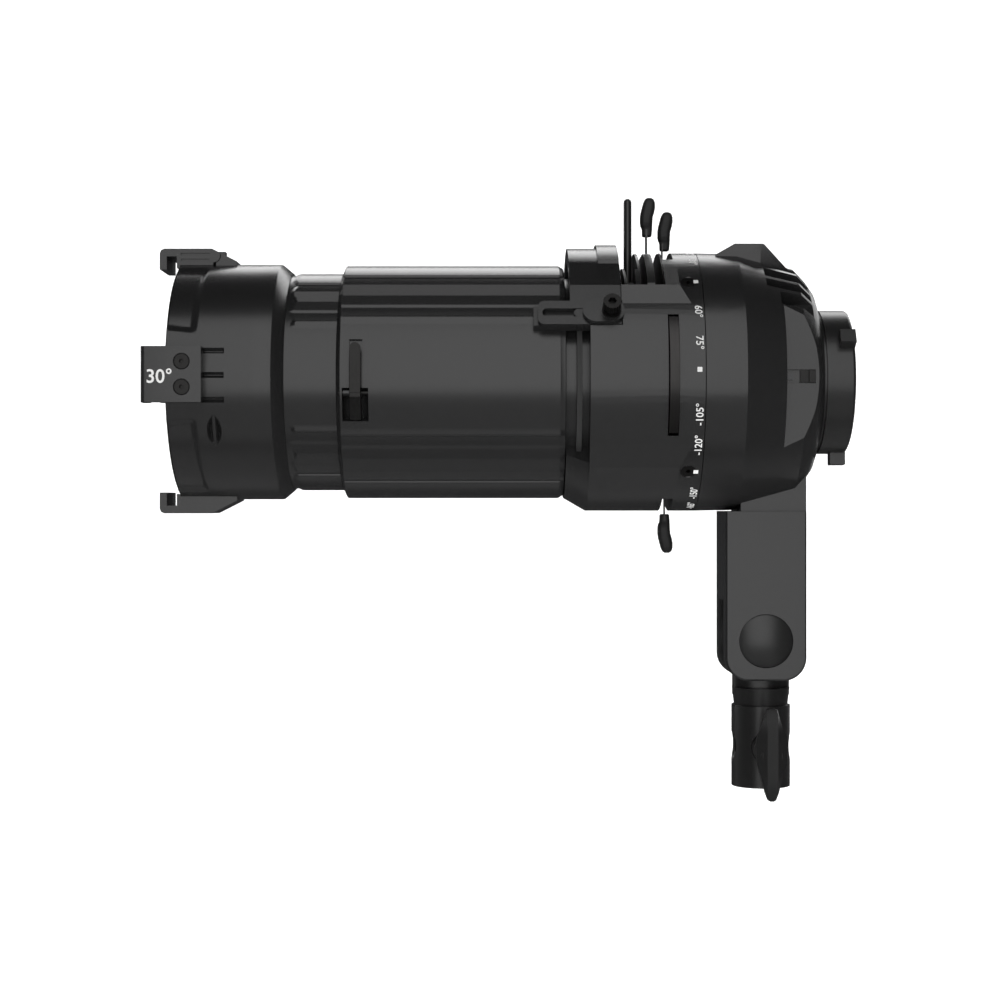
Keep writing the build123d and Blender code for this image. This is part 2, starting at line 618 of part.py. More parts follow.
def focus_shoe():
    """Rounded clamp shoe that the lock screw presses on the slide plate."""
    shoe = rounded_bar(-88.6, -69.6, 6.2, -64.2, -PLATE_OUT - 0.15)
    return around(FOCUS_PHI, shoe - rod_y(2.1, -70, -50, LOCK_X, 0))


def focus_lock_screw():
    """Knurled socket-head screw that locks the focus."""
    head = rod_y(4.1, -71.6, -67.2, LOCK_X, 0)
    head = head + rod_y(3.3, -67.2, -65.4, LOCK_X, 0)
    head = head + rod_y(4.4, -65.4, -64.25, LOCK_X, 0)
    notch = rod_y(0.45, -72, -67.2, LOCK_X + 4.25, 0)
    for n in range(18):
        turn = Pos(LOCK_X, 0, 0) * Rot(0, 20 * n, 0) * Pos(-LOCK_X, 0, 0)
        head = head - turn * notch
    socket = Pos(LOCK_X, -71.6, 0) * Rot(90, 0, 0) * extrude(RegularPolygon(2.0, 6), 2.6, both=True)
    return around(FOCUS_PHI, head - socket + rod_y(1.95, -65, -54.8, LOCK_X, 0))


def lens_tube():
    """Ribbed neck with a plain rear sleeve inside the barrel and a spigot inside the hood."""
    solid = turned((-235.5, 46.6), (-134, 46.6), (-134, 49.8), (BARREL_FRONT - 2.1, 49.8),
                   (BARREL_FRONT - 2.1, NECK_R), (HOOD_REAR, NECK_R), (HOOD_REAR, 49.9), (-235.5, 49.9))
    for cut in rib_grooves(NECK_R, HOOD_REAR + 3.0, BARREL_FRONT - 2.0):
        solid = solid - cut
    return solid - block(LATCH_X - 3.0, LATCH_X + 3.0, -60, -43.9, -20.8, -15.8)


def front_hood():
    """Round hood with four shallow front recesses, a finger scoop and grooves behind the side claws."""
    solid = turned((HOOD_FRONT, 53.2), (-243.4, 53.2), (-243.4, 49.0), (-235.6, 49.0), (-235.6, 50.0),
                   (HOOD_REAR, 50.0), (HOOD_REAR, NECK_R), (HOOD_CONE, HOOD_R), (HOOD_FRONT + 0.8, HOOD_R),
                   (HOOD_FRONT, HOOD_R - 0.8))
    corner = section(-281, -264, (0, 0), (-70, 17.5), (-70, 70), (-17.5, 70))
    recess = tube(60, HOOD_R - 0.9, HOOD_FRONT - 1, -265.5) & corner
    for quarter in range(4):
        solid = solid - Rot(90 * quarter, 0, 0) * recess
    scoop = Pos(SCOOP_X, -HOOD_R, 0) * Rot(90, 0, 0) * extrude(scoop_outline(), 1.6, both=True)
    leaf = block(SCOOP_X - 0.5, SCOOP_X + 0.5, -58, -53, -8, 8)
    solid = solid - around(SCOOP_PHI, scoop - leaf)
    for z in (-11.2, 0, 11.2):
        groove = block(-261.0, -252.2, -58, -54.9, z - 1.1, z + 1.1)
        solid = solid - groove - mirror(groove, Plane.XZ)
    for place in FIXED_CLAWS:
        for z in CLAW_SCREW_OFFSETS:
            solid = solid - around(CLAW_PHIS[place], rod_y(1.65, -60, -53, CLAW_SCREW_X, z))
    return solid


def scoop_outline():
    """Pointed oval, 6.5 wide and 15.5 tall."""
    arc_r = (7.75 ** 2 + 3.25 ** 2) / (2 * 3.25)
    left = Pos(arc_r - 3.25, 0) * Circle(arc_r)
    right = Pos(3.25 - arc_r, 0) * Circle(arc_r)
    return left & right


def claw_side(y0, y1, ramp_x):
    """Side view of a claw: flat back, front hook and slot, ramp to the hood from ramp_x on."""
    return side_profile(y0, y1, (CLAW_FRONT, -CLAW_R + 2.2), (CLAW_FRONT + 0.7, -CLAW_R + 0.7),
                        (CLAW_FRONT + 2.2, -CLAW_R), (ramp_x, -CLAW_R), (-252, -57.2), (-252, -54),
                        (-280.8, -54), (-280.8, -59.6), (-285.6, -59.6), (-285.6, -53.3), (CLAW_FRONT, -53.3))


def frame_claw(ramp_x=-264.0):
    """Fixed claw for the accessory frame, drawn below the axis."""
    solid = claw_side(-CLAW_W, CLAW_W, ramp_x) - rod_x(HOOD_R, HOOD_FRONT, -250) - rod_x(50, -290, -250)
    for y in CLAW_SCREW_OFFSETS:
        solid = solid - around(-90, Pos(0, 0, y) * flat_head_hole(CLAW_SCREW_X, CLAW_R))
    return solid


def claw(place):
    return Rot(-90 - CLAW_PHIS[place], 0, 0) * frame_claw()


def side_claw(place):
    """Claw on the side of the hood: a plain plate with no ramp behind it."""
    plate = Rot(-90 - CLAW_PHIS[place], 0, 0) * frame_claw(SIDE_CLAW_REAR)
    return plate & block(CLAW_FRONT - 1, SIDE_CLAW_REAR, -80, 80, -80, 80)


def claw_screws():
    """Countersunk screws of the three fixed claws."""
    screws = []
    for place in FIXED_CLAWS:
        for z in CLAW_SCREW_OFFSETS:
            screw = Pos(0, 0, z) * flat_head_screw(CLAW_SCREW_X, CLAW_R, 9.0)
            screws.append(around(CLAW_PHIS[place], screw))
    return screws


def claw_pin():
    return rod_y(CLAW_PIN_R, -12.0, 12.0, CLAW_PIN_X, CLAW_PIN_Z)


def claw_top():
    """Sprung top claw: two grip grooves along each side, and a fork round the hinge tongue."""
    front = claw("top") & block(-300, CLAW_PIN_X, -20, 20, 0, 80)
    solid = front + (rod_y(3.3, -CLAW_W, CLAW_W, CLAW_PIN_X, CLAW_PIN_Z) & claw("top"))
    for z in (57.8, 60.6):
        groove = block(-278.9, -265.0, -CLAW_W - 1, -CLAW_W + 0.9, z - 0.6, z + 0.6)
        solid = solid - groove - mirror(groove, Plane.XZ)
    solid = solid - block(-267.2, -259.0, -4.3, 4.3, 40, 80)
    solid = solid - rod_y(CLAW_PIN_R, -12.0, 12.0, CLAW_PIN_X, CLAW_PIN_Z)
    return solid - rod_x(HOOD_R + 0.15, HOOD_FRONT - 0.2, -250)


def claw_base():
    """Foot of the sprung claw on the hood, with the hinge tongue."""
    foot = claw("top") & block(-262, -250, -20, 20, 0, 80)
    foot = foot - rod_y(3.65, -13, 13, CLAW_PIN_X, CLAW_PIN_Z)
    arm = block(CLAW_PIN_X, -259, -2.6, 2.6, 57.0, CLAW_PIN_Z + 3.1)
    arm = arm + rod_y(3.1, -2.6, 2.6, CLAW_PIN_X, CLAW_PIN_Z)
    solid = foot + arm - rod_x(HOOD_R, HOOD_FRONT, -250)
    return solid - rod_y(CLAW_PIN_R + 0.05, -13, 13, CLAW_PIN_X, CLAW_PIN_Z)


def claw_springs():
    """Coils of the claw's return spring, one each side of the tongue."""
    coil = rod_y(2.0, 2.8, 4.1, CLAW_PIN_X, CLAW_PIN_Z) - rod_y(1.35, 2, 5, CLAW_PIN_X, CLAW_PIN_Z)
    return [coil, mirror(coil, Plane.XZ)]


def lens_latch():
    """Rocking latch: thumb bar outside, hooked tail through the barrel wall."""
    y, z = LATCH_PIN
    x0 = LATCH_X - LATCH_W
    x1 = LATCH_X + LATCH_W
    bar = block(x0, x1, -59.4, -56.6, -8, 12.4)
    bar = bar + rod_y(LATCH_W, -59.4, -56.6, LATCH_X, 12.4)
    boss = block(x0, x1, -58.6, -52.0, -10, -6.2)
    tail = section(x0, x1, (-58.6, -8), (-52.0, -8), (-49.6, -16.5), (-44.9, -17.2), (-44.9, -19.2),
                   (-53.4, -20.4))
    return bar + boss + tail - rod_x(LATCH_PIN_R + 0.05, -210, -180, y, z)


def latch_pin():
    return rod_x(LATCH_PIN_R, -200.0, -185.0, *LATCH_PIN)


def latch_spring():
    """Coil of the latch's return spring on its pin."""
    return rod_x(1.9, -197.9, -195.1, *LATCH_PIN) - rod_x(LATCH_PIN_R + 0.1, -199, -194, *LATCH_PIN)


def lens_retainers():
    """Threaded rings in front of the front lens and behind the rear lens."""
    front = turned((-246, 47), (-239.1, 47), (-239.1, 48.8), (-243.5, 48.8), (-243.5, 53.0), (-246, 53.0))
    return [front, tube(46.5, 43.2, -145.8, -143.8)]


def main():
    os.makedirs("parts", exist_ok=True)

    save("stand_receiver", stand_receiver())
    save("clamp_screw", clamp_screw())
    save("clamp_pad", clamp_pad())
    save("t_handle", t_handle())
    save("bracket_arm", bracket_arm())
    save("bracket_saddle", bracket_saddle())
    save("saddle_screws", Compound(children=saddle_screws()))
    save("tilt_bolt", tilt_bolt())
    save("tilt_dish", tilt_dish())
    save("tilt_washers", Compound(children=tilt_washers()))
    save("tilt_nut", tilt_nut())
    save("tilt_lever", tilt_lever())

    save("rear_housing", lift(rear_housing()))
    save("mount_ring", lift(mount_ring()))
    save("mount_ring_screws", lift(Compound(children=mount_ring_screws())))
    save("lock_tab", lift(lock_tab()))
    save("lock_spring", lift(lock_spring()))
    save("friction_ring", lift(friction_ring()))
    save("condenser_cell", lift(condenser_cell()))
    save("cell_retainers", lift(Compound(children=cell_retainers())))
    save("condenser_lens_front", lift(plano_convex(42.0, 3.0, 8.0, 1.9, -1)))
    save("condenser_lens_rear", lift(plano_convex(40.0, 3.0, 7.0, 3.7, 1)))

    save("gate_body", lift(gate_body()))
    save("gate_screws", lift(Compound(children=gate_screws())))
    save("gate_retainer", lift(gate_retainer()))
    save("gate_aperture", lift(gate_aperture()))
    save("shutter_guides", lift(Compound(children=shutter_guides())))
    save("stop_ring", lift(stop_ring()))
    save("gate_transition", lift(gate_transition()))
    save("focus_carriage", lift(focus_carriage()))
    save("iris_housing", lift(iris_housing()))
    save("iris_blades", lift(Compound(children=iris_blades())))
    save("iris_lever", lift(iris_lever()))
    save("gobo_holder", lift(gobo_holder()))
    save("gobo_knob", lift(pull_knob(-55.3, GOBO_KNOB_Z, 1, -55.5)))
    save("shutter_blade_top", lift(knob_blade(-48.1, 1)))
    save("shutter_knob_top", lift(pull_knob(-47.1, SHUTTER_KNOB_Z, 1, -47.85)))
    save("shutter_blade_bottom", lift(knob_blade(-47.0, -1)))
    save("shutter_knob_bottom", lift(pull_knob(-47.1, -SHUTTER_KNOB_Z, -1, -46.75)))
    save("shutter_near", lift(side_blade(-49.2, -1)))
    save("shutter_far", lift(side_blade(-45.9, 1)))

    save("barrel", lift(barrel()))
    save("focus_tongue", lift(focus_tongue()))
    save("focus_shoe", lift(focus_shoe()))
    save("focus_lock_screw", lift(focus_lock_screw()))
    save("lens_latch", lift(lens_latch()))
    save("latch_spring", lift(latch_spring()))
    save("lens_tube", lift(lens_tube()))
    save("front_hood", lift(front_hood()))
    save("claw_bottom", lift(claw("bottom")))
    save("claw_near", lift(side_claw("near")))
    save("claw_far", lift(side_claw("far")))
    save("claw_screws", lift(Compound(children=claw_screws())))
    save("claw_top", lift(claw_top()))
    save("claw_hinge", lift(Compound(children=[claw_base()] + claw_springs())))
    save("hinge_pins", lift(Compound(children=[claw_pin(), latch_pin()])))
    save("lens_spacer", lift(tube(46.4, 44.6, -235.4, -150.1)))
    save("lens_retainers", lift(Compound(children=lens_retainers())))
    save("lens_front", lift(plano_convex(48.8, 3.0, 6.0, -235.6, -1)))
    save("lens_rear", lift(plano_convex(46.4, 3.0, 7.0, -150.0, 1)))


main()
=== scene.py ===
import bmesh
import bpy
import json
import math
import numpy as np
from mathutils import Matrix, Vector


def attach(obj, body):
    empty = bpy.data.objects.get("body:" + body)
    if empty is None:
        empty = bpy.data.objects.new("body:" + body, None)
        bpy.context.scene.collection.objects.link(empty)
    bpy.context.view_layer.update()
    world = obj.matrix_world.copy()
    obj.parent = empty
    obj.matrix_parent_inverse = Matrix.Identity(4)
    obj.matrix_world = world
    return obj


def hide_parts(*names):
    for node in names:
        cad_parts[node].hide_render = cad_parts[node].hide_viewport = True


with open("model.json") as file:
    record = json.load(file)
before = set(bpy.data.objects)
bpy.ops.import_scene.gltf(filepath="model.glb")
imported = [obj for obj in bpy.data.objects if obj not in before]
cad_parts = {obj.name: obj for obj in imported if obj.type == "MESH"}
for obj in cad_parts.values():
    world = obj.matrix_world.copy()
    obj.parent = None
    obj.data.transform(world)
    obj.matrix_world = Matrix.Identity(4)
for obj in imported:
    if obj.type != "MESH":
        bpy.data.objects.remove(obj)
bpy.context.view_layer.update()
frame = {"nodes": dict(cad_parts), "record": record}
BODIES = frame["record"]["behaviour"]["bodies"]
BODY_OF = {node: body for body, members in BODIES.items() for node in members}
SLOT_OF = {s["node"]: s["material_slot"] for s in frame["record"]["subparts"]}
MM = 0.001
AXIS_Z = 0.1948          # height of the beam axis
MERGE = 2e-6             # vertices of a CAD node closer than this are one
FLAT_ANGLE = 0.4         # degrees between facets that count as one face
RING_REACH = 0.00004     # how far from a ring's plane an edge may lie
EDGE_STEPS = 2           # segments of a rounded edge
FACE_WEIGHT = 80         # how strongly large faces hold their own normal


# ---------------------------------------------------------------- shader maths

class Wire:
    """One output of a shader node. + and * on it add Math nodes to its tree."""

    def __init__(self, graph, socket):
        self.graph, self.socket = graph, socket

    def maths(self, operation, first, second):
        return self.graph.node("ShaderNodeMath", {0: first, 1: second}, operation=operation)

    def __add__(self, other):
        return self.maths("ADD", self, other)

    def __mul__(self, other):
        return self.maths("MULTIPLY", self, other)

    __radd__ = __add__
    __rmul__ = __mul__


class Graph:
    """Node tree of one new material."""

    def __init__(self, name):
        self.material = bpy.data.materials.new(name)
        self.material.use_nodes = True
        self.tree = self.material.node_tree
        self.tree.nodes.clear()

    def node(self, kind, inputs=(), out=0, **settings):
        """Adds a node: settings first, then the value or link of each named input."""
        made = self.tree.nodes.new(kind)
        for key, value in settings.items():
            setattr(made, key, value)
        for key, value in dict(inputs).items():
            if isinstance(value, Wire):
                self.tree.links.new(value.socket, made.inputs[key])
            else:
                made.inputs[key].default_value = value
        return Wire(self, made.outputs[out])

    def place(self):
        """Object coordinates in metres."""
        return self.node("ShaderNodeTexCoord", out="Object")

    def noise(self, scale, detail=2.0, rough=0.5, stretch=(1, 1, 1)):
        """Noise value; scale is in cycles per metre, stretch squeezes it along an axis."""
        where = self.node("ShaderNodeMapping", {"Vector": self.place(), "Scale": stretch})
        return self.node("ShaderNodeTexNoise",
                         {"Vector": where, "Scale": scale, "Detail": detail, "Roughness": rough})

    def blend(self, factor, low, high):
        """Colour mix of two colours by a wire."""
        return self.node("ShaderNodeMix", {"Factor": factor, 6: (*low, 1), 7: (*high, 1)}, out=2,
                         data_type="RGBA")

    def bump(self, height, distance, strength=1.0):
        return self.node("ShaderNodeBump", {"Height": height, "Distance": distance, "Strength": strength})

    def finish(self, **inputs):
        """Principled shader on the surface output; input names use spaces for underscores."""
        named = {key.replace("_", " "): value for key, value in inputs.items()}
        shader = self.node("ShaderNodeBsdfPrincipled", named)
        end = self.tree.nodes.new("ShaderNodeOutputMaterial")
        self.tree.links.new(shader.socket, end.inputs["Surface"])
        return self.material


def powder_coat(name="satin_powder_coat", tone=0.013, rough=0.26, grain=0.000007):
    """Satin black powder coat: orange-peel bump, faint blotches in tone and gloss."""
    g = Graph(name)
    peel = g.noise(900, 3.0, 0.55) * 0.65 + g.noise(3200, 2.0) * 0.35
    cloud = g.noise(28, 4.0, 0.6)
    colour = g.blend(cloud, (tone * 0.9,) * 3, (tone * 1.1, tone * 1.1, tone * 1.12))
    return g.finish(Base_Color=colour, Roughness=cloud * 0.03 + g.noise(700) * 0.03 + (rough - 0.03),
                    Metallic=0.0, IOR=1.5, Normal=g.bump(peel, grain))


def anodised(name="black_anodised", tone=0.012, rough=0.32):
    """Black anodised, turned metal: fine rings round the beam axis or socket."""
    g = Graph(name)
    rings = g.noise(5200, 1.0, 0.5, (1, 0.02, 0.02))
    cloud = g.noise(40, 3.0)
    colour = g.blend(cloud, (tone * 0.85,) * 3, (tone * 1.15,) * 3)
    return g.finish(Base_Color=colour, Roughness=rings * 0.08 + cloud * 0.03 + (rough - 0.055), Metallic=0.0,
                    IOR=1.5, Normal=g.bump(rings, 0.000004))


def black_oxide(name="black_oxide_steel", tone=0.02, rough=0.36):
    """Blackened steel with a mottled oxide."""
    g = Graph(name)
    mottle = g.noise(450, 5.0, 0.65)
    colour = g.blend(mottle, (tone * 0.6,) * 3, (tone * 1.5, tone * 1.45, tone * 1.4))
    return g.finish(Base_Color=colour, Roughness=mottle * 0.2 + (rough - 0.1), Metallic=0.85,
                    Normal=g.bump(g.noise(2500, 3.0), 0.000006))


def blade_sheet(name="shutter_sheet"):
    """Dark stainless sheet, brushed lengthwise, with faint heat tint."""
    g = Graph(name)
    brush = g.noise(2600, 2.0, 0.6, (1, 1, 0.03))
    tint = g.noise(45, 3.0)
    colour = g.blend(tint, (0.030, 0.029, 0.028), (0.045, 0.043, 0.043))
    return g.finish(Base_Color=colour, Roughness=brush * 0.2 + 0.22, Metallic=1.0,
                    Normal=g.bump(brush, 0.000004))


def spring_wire(name="spring_steel_wire"):
    g = Graph(name)
    drawn = g.noise(3000, 2.0)
    colour = g.blend(drawn, (0.040, 0.040, 0.041), (0.055, 0.055, 0.056))
    return g.finish(Base_Color=colour, Roughness=drawn * 0.15 + 0.2, Metallic=1.0)


def moulded_nylon(name="moulded_nylon", tone=0.011, rough=0.5):
    """Black glass-filled nylon with a fine spark-eroded grain."""
    g = Graph(name)
    grain = g.noise(2600, 4.0, 0.7)
    cloud = g.noise(60, 3.0)
    colour = g.blend(cloud, (tone * 0.8,) * 3, (tone * 1.25,) * 3)
    return g.finish(Base_Color=colour, Roughness=grain * 0.12 + (rough - 0.06), IOR=1.38,
                    Normal=g.bump(grain, 0.00002, 0.8))


def bearing_nylon(name="bearing_nylon"):
    g = Graph(name)
    grain = g.noise(1200, 3.0)
    colour = g.blend(grain, (0.035,) * 3, (0.06,) * 3)
    return g.finish(Base_Color=colour, Roughness=grain * 0.1 + 0.4, Normal=g.bump(grain, 0.00001))


def soft_rubber(name="stop_rubber"):
    g = Graph(name)
    grain = g.noise(1500, 4.0, 0.7)
    colour = g.blend(g.noise(90), (0.022,) * 3, (0.035,) * 3)
    return g.finish(Base_Color=colour, Roughness=grain * 0.15 + 0.65, Normal=g.bump(grain, 0.00004))


def coated_glass(name="coated_lens_glass"):
    """Lens glass with a thin green and violet coating sheen."""
    g = Graph(name)
    smudge = g.noise(35, 4.0, 0.7)
    colour = g.blend(smudge, (0.86, 0.94, 0.93), (0.92, 0.97, 0.96))
    return g.finish(Base_Color=colour, Roughness=smudge * 0.03 + 0.005, IOR=1.52, Transmission_Weight=1.0)


def white_print(name="white_print"):
    """Pad-printed white ink with slightly uneven cover."""
    g = Graph(name)
    cover = g.noise(1800, 4.0, 0.7)
    colour = g.blend(cover, (0.72, 0.72, 0.71), (0.86, 0.86, 0.85))
    return g.finish(Base_Color=colour, Roughness=cover * 0.1 + 0.45)


FINISHES = {
    "casting_black": powder_coat(),
    "anodised_black": anodised(),
    "blackened_steel": black_oxide(),
    "spring_steel": spring_wire(),
    "blade_steel": blade_sheet(),
    "knob_plastic": moulded_nylon(),
    "bearing_nylon": bearing_nylon(),
    "stop_rubber": soft_rubber(),
    "lens_glass": coated_glass(),
}
PRINT = white_print()


# ---------------------------------------------------------------- meshes

def add_piece(name, mesh, body, slot, material=None, stands_for=()):
    """Links a mesh as a piece that rides on a body and takes its slot's finish."""
    piece = bpy.data.objects.new(name, mesh)
    bpy.context.scene.collection.objects.link(piece)
    mesh.materials.clear()
    mesh.materials.append(material or FINISHES[slot])
    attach(piece, body)
    if stands_for:
        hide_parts(*stands_for)
    return piece


def smooth_by_angle(mesh, degrees, rings=()):
    """Smooth faces with sharp edges over an angle, and along each plane of constant X in rings."""
    mesh.polygons.foreach_set("use_smooth", np.ones(len(mesh.polygons), bool))
    mesh.set_sharp_from_angle(angle=math.radians(degrees))
    x = np.array([vertex.co.x for vertex in mesh.vertices])
    for edge in mesh.edges if rings else ():
        ends = x[list(edge.vertices)]
        if any(np.all(np.abs(ends - ring * MM) < RING_REACH) for ring in rings):
            edge.use_edge_sharp = True


def softened(node, edge=0.3, angle=28, crease=28, rings=()):
    """Copy of a CAD node with its loose triangles merged and its sharp edges rounded by edge mm."""
    source = frame["nodes"][node]
    mesh = source.data.copy()
    mesh.name = node + "_soft_edges"
    work = bmesh.new()
    work.from_mesh(mesh)
    bmesh.ops.remove_doubles(work, verts=work.verts, dist=MERGE)
    bmesh.ops.dissolve_limit(work, angle_limit=math.radians(FLAT_ANGLE), verts=work.verts, edges=work.edges)
    work.to_mesh(mesh)
    work.free()
    smooth_by_angle(mesh, crease, rings)
    piece = add_piece(node + "_shell", mesh, BODY_OF[node], SLOT_OF[node], stands_for=(node,))
    round_edges = piece.modifiers.new("edge_rounding", "BEVEL")
    round_edges.width = edge * MM
    round_edges.segments = EDGE_STEPS
    round_edges.limit_method = "ANGLE"
    round_edges.angle_limit = math.radians(angle)
    round_edges.use_clamp_overlap = True
    even = piece.modifiers.new("flat_faces_stay_flat", "WEIGHTED_NORMAL")
    even.keep_sharp = True
    even.weight = FACE_WEIGHT


for name, node in frame["nodes"].items():
    node.data.materials.clear()
    node.data.materials.append(FINISHES[SLOT_OF[name]])

SOFT_EDGES = {
    "bracket_arm": 0.9, "bracket_saddle": 0.2, "stand_receiver": 0.3, "tilt_lever": 0.6,
    "focus_carriage": 0.25, "claw_bottom": 0.3, "claw_near": 0.3, "claw_far": 0.3, "claw_top": 0.3,
}
for name, edge in SOFT_EDGES.items():
    softened(name, edge)
softened("gate_body", 0.25, crease=12)
softened("rear_housing", 0.4, rings=(-14.1,))


# ---------------------------------------------------------------- turned shells

PAIR = 0.12              # degrees on both sides of a corner
STEP = 0.06              # the same for a step along X, in mm

def ramp(value, width):
    """Smooth step from 0 to 1 while value goes from 0 to width."""
    t = np.clip(value / width, 0.0, 1.0)
    return t * t * (3 - 2 * t)


def quadrant(phi):
    """Angle from the nearest horizontal in degrees, 0 to 90: every quadrant folded onto one."""
    turn = np.mod(phi, 180.0)
    return np.minimum(turn, 180.0 - turn)


def samples(step, corners=(), spans=()):
    """Angles all the way round: one every step, a pair at each corner and a fine run over each span."""
    runs = [np.arange(-180.0, 180.0, step)]
    runs += [np.array([corner - PAIR, corner + PAIR]) for corner in corners]
    runs += [np.arange(*span) for span in spans]
    return np.unique(np.round(np.concatenate(runs), 3))


def every_quadrant(angles):
    """The given angles from the horizontal, repeated in all four quadrants."""
    return [turn for a in angles for turn in (a, -a, 180.0 - a, a - 180.0)]


def grid_faces(rows, columns, loop_rows=True):
    """Quads of a grid that closes on itself in its columns, and in its rows if loop_rows."""
    i, j = np.meshgrid(np.arange(rows if loop_rows else rows - 1), np.arange(columns), indexing="ij")
    k, m = (i + 1) % rows, (j + 1) % columns
    corners = [i * columns + j, k * columns + j, k * columns + m, i * columns + m]
    return np.stack(corners, -1).reshape(-1, 4)


def new_mesh(name, points, faces, crease):
    mesh = bpy.data.meshes.new(name)
    mesh.from_pydata(points.reshape(-1, 3).tolist(), [], [list(face) for face in faces])
    smooth_by_angle(mesh, crease)
    return mesh


def turned_shell(name, loop, phis, relief, crease=26):
    """Closed shell swept round the beam axis: p(s, phi) = (x(s), -r cos phi, axis + r sin phi).

    loop holds (x, r, share) in mm and runs towards +X on the outside; r(s, phi) is r(s) plus
    share(s) times relief(x, phi)."""
    x, r, share = (np.array(column, float)[:, None] for column in zip(*loop))
    x = x + 0 * phis
    r = r + share * relief(x, phis + 0 * x)
    turn = np.radians(phis)
    points = np.stack([x, -r * np.cos(turn), AXIS_Z / MM + r * np.sin(turn)], -1) * MM
    return new_mesh(name, points, grid_faces(*x.shape), crease)


def along(x0, x1, step, r, share=1.0):
    """Stations from x0 to x1 at one radius."""
    return [(x, r, share) for x in np.arange(x0, x1 + step / 2, step)]


# ribs: (angle from the horizontal, height over the full radius, straight from here to the next)
NEAR_DEPTH = -0.85       # the plain zones on both sides lie lower than the ribs
RIBS = np.array([(0, NEAR_DEPTH, 0), (25.6, NEAR_DEPTH, 1), (28.6, 0, 0), (29.4, 0, 1), (30.2, -1.0, 0),
                 (35.4, -1.0, 1), (36.7, -0.6, 1), (42.6, 0, 1), (43.6, -2.6, 0), (44.4, -2.6, 1),
                 (51.2, 0, 0), (56.6, 0, 1), (57.3, -0.9, 0), (60.2, -0.9, 1), (60.8, 0, 0), (90, 0, 0)])
RIB_ANGLES = samples(1.5, every_quadrant(RIBS[1:-1, 0]))


BARREL_R = 56.0
NECK_R = 52.2


def rib_height(phi, full=BARREL_R):
    """Height of the ribs over the full radius: arcs and flat facets, the same in every quadrant."""
    fold = quadrant(phi)
    own = np.clip(np.searchsorted(RIBS[:, 0], fold, side="right") - 1, 0, len(RIBS) - 2)
    low, high = RIBS[own], RIBS[own + 1]
    r0, r1 = full + low[..., 1], full + high[..., 1]
    turns = (high[..., 0] - fold, fold - low[..., 0], high[..., 0] - low[..., 0])
    sin = [np.sin(np.radians(turn)) for turn in turns]
    facet = sin[2] / (sin[0] / r0 + sin[1] / r1) - full
    return np.where(low[..., 2] > 0, facet, np.interp(fold, RIBS[:, 0], RIBS[:, 1]))


HOOD_R, HOOD_FRONT, HOOD_BORE = 56.6, -279, 53.2
RECESS_DEPTH, RECESS_X, RECESS_FROM, RECESS_TO = 1.3, -263.9, 21.0, 70.5
SCOOP_X, SCOOP_PHI = -257.2, -26.4
SCOOP_ARC_R, SCOOP_ARC_MIDDLE = 10.86, 7.61   # two arcs that cross make the pointed outline
LEAF_HALF, LEAF_DEPTH, SCOOP_SLOPE, FLANK_MAX = 0.75, 0.35, 2.1, 1.1
GROOVE_X, GROOVE_START_X = -252.2, -263.0
GROOVE_PHI, GROOVE_HALF, GROOVE_DEPTH = 11.4, 1.25, 2.0


def hood_relief(x, phi):
    """Front recesses, finger scoop with its leaf, and V grooves behind the side claws.

    Heights over HOOD_R in mm: minus the recess, the scoop and the groove at (x, phi)."""
    fold = quadrant(phi)
    slope = 1.6 * (fold - 45) / 45
    recess = RECESS_DEPTH * ramp(RECESS_X + slope - x, 3.6) * ramp(RECESS_TO - fold, 4.0)
    recess = recess * ramp(fold - RECESS_FROM + 0.12 * (x - HOOD_FRONT), 4.2)
    arc = np.radians(phi - SCOOP_PHI) * HOOD_R
    dx = np.abs(x - SCOOP_X)
    width = np.sqrt(np.maximum(SCOOP_ARC_R ** 2 - arc ** 2, 0)) - SCOOP_ARC_MIDDLE
    inside = (width > 0.05) & (np.abs(phi - SCOOP_PHI) < 10) & (dx < width)
    flank = np.clip(np.minimum(dx - LEAF_HALF, width - dx), 0, FLANK_MAX)
    scoop = np.where(inside, LEAF_DEPTH + SCOOP_SLOPE * flank, 0.0)
    side = np.minimum(np.abs(phi), 180 - np.abs(phi))
    track = np.minimum(side, np.abs(side - GROOVE_PHI))
    groove = GROOVE_DEPTH * np.clip(1.3 - track / GROOVE_HALF, 0, 1) * (track < GROOVE_HALF)
    groove = groove * ramp(GROOVE_X - x, 0.3) * (x > GROOVE_START_X)
    return -recess - scoop - groove


def hood_mesh():
    spans = [(-37, -16, 0.4)]
    for a in every_quadrant((21.5, 67.3)):
        spans.append((a - 4, a + 4.1, 0.8))
    near = (0, GROOVE_HALF, GROOVE_PHI - GROOVE_HALF, GROOVE_PHI, GROOVE_PHI + GROOVE_HALF)
    grooves = [sign * a for sign in (1, -1) for a in (*near, *(180 - turn for turn in near))]
    loop = [(HOOD_FRONT, HOOD_BORE, 0), (HOOD_FRONT, 55.7, 0.3), (-278.7, 56.2, 1)]
    loop += along(-278.2, -262.6, 0.6, HOOD_R) + along(-262.2, -250.6, 0.35, HOOD_R)
    loop += [(-240, HOOD_R, 0), (-231.0, HOOD_R, 0), (-230.7, 56.5, 0), (-230.3, 56.2, 0),
             (-225.8, 52.4, 0), (-225.5, 51.9, 0), (-225.5, 50, 0), (-235.6, 50, 0), (-235.6, 49, 0),
             (-243.4, 49, 0), (-243.4, HOOD_BORE, 0)]
    return turned_shell("front_hood_shell", loop, samples(1.5, grooves, spans), hood_relief)


